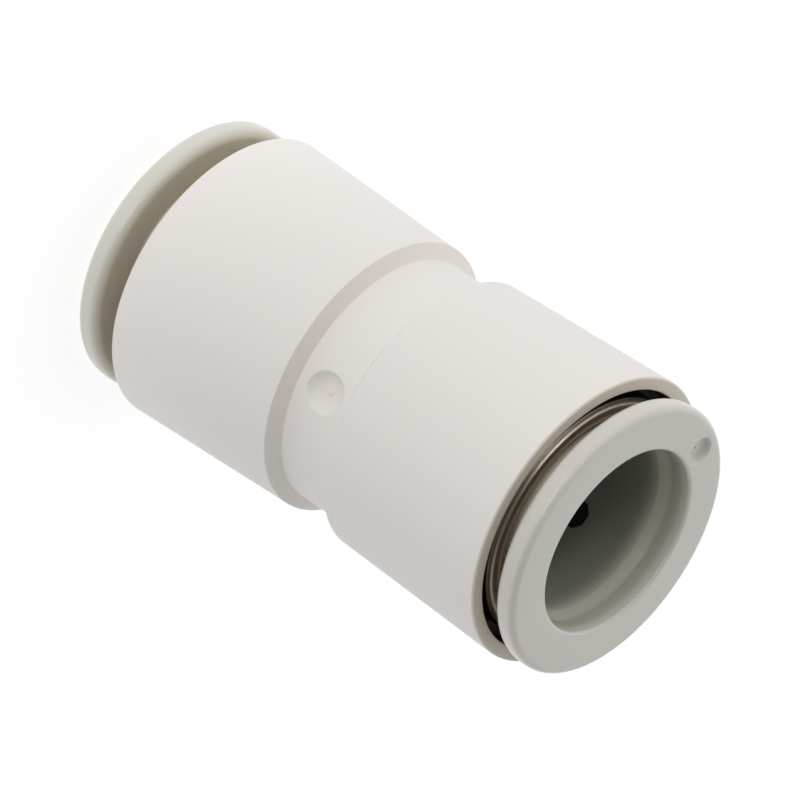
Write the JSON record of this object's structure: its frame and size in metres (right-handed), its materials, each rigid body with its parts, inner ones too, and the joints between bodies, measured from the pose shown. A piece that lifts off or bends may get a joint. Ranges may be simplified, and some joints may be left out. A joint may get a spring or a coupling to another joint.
{
  "type": "push-in straight union",
  "caption": "Straight push-in union that joins two plastic tubes end to end: waisted white body with a light grey release button at each end.",
  "frame": {"origin": "centre of the lower release button's outer face, on the common axis of the two tube ports", "axes": "+Z along the common axis of the two ports, from the lower button to the upper one; the gate recess in the waist faces -Y, turned 16 degrees towards +X"},
  "size_m": [0.0266, 0.0266, 0.0506],
  "materials": {
    "body_plastic": "warm white moulded plastic, fine matte",
    "button_plastic": "light grey moulded plastic, slightly glossier than the body",
    "collet_plastic": "black moulded plastic, matte",
    "guide_steel": "drawn stainless steel, satin",
    "chuck_steel": "stamped stainless spring steel",
    "seal_rubber": "black nitrile rubber, smooth matte"
  },
  "bodies": {
    "housing": {"body": "body_plastic", "lower_guide_ring": "guide_steel", "lower_chuck": "chuck_steel", "lower_seal": "seal_rubber", "upper_guide_ring": "guide_steel", "upper_chuck": "chuck_steel", "upper_seal": "seal_rubber"},
    "lower_collet": {"lower_collet": "collet_plastic"},
    "lower_button": {"lower_release_button": "button_plastic"},
    "upper_collet": {"upper_collet": "collet_plastic"},
    "upper_button": {"upper_release_button": "button_plastic"}
  },
  "joints": [
    {"name": "lower_collet_turn", "type": "hinge", "parent": "housing", "child": "lower_collet", "pos_m": [0, 0, 0.0108], "axis": [0, 0, 1], "continuous": true},
    {"name": "lower_button_press", "type": "slide", "parent": "lower_collet", "child": "lower_button", "axis": [0, 0, 1], "range_m": [0, 0.0025]},
    {"name": "upper_collet_turn", "type": "hinge", "parent": "housing", "child": "upper_collet", "pos_m": [0, 0, 0.0411], "axis": [0, 0, 1], "continuous": true},
    {"name": "upper_button_press", "type": "slide", "parent": "upper_collet", "child": "upper_button", "axis": [0, 0, -1], "range_m": [-0.0013, 0.0012]}
  ]
}
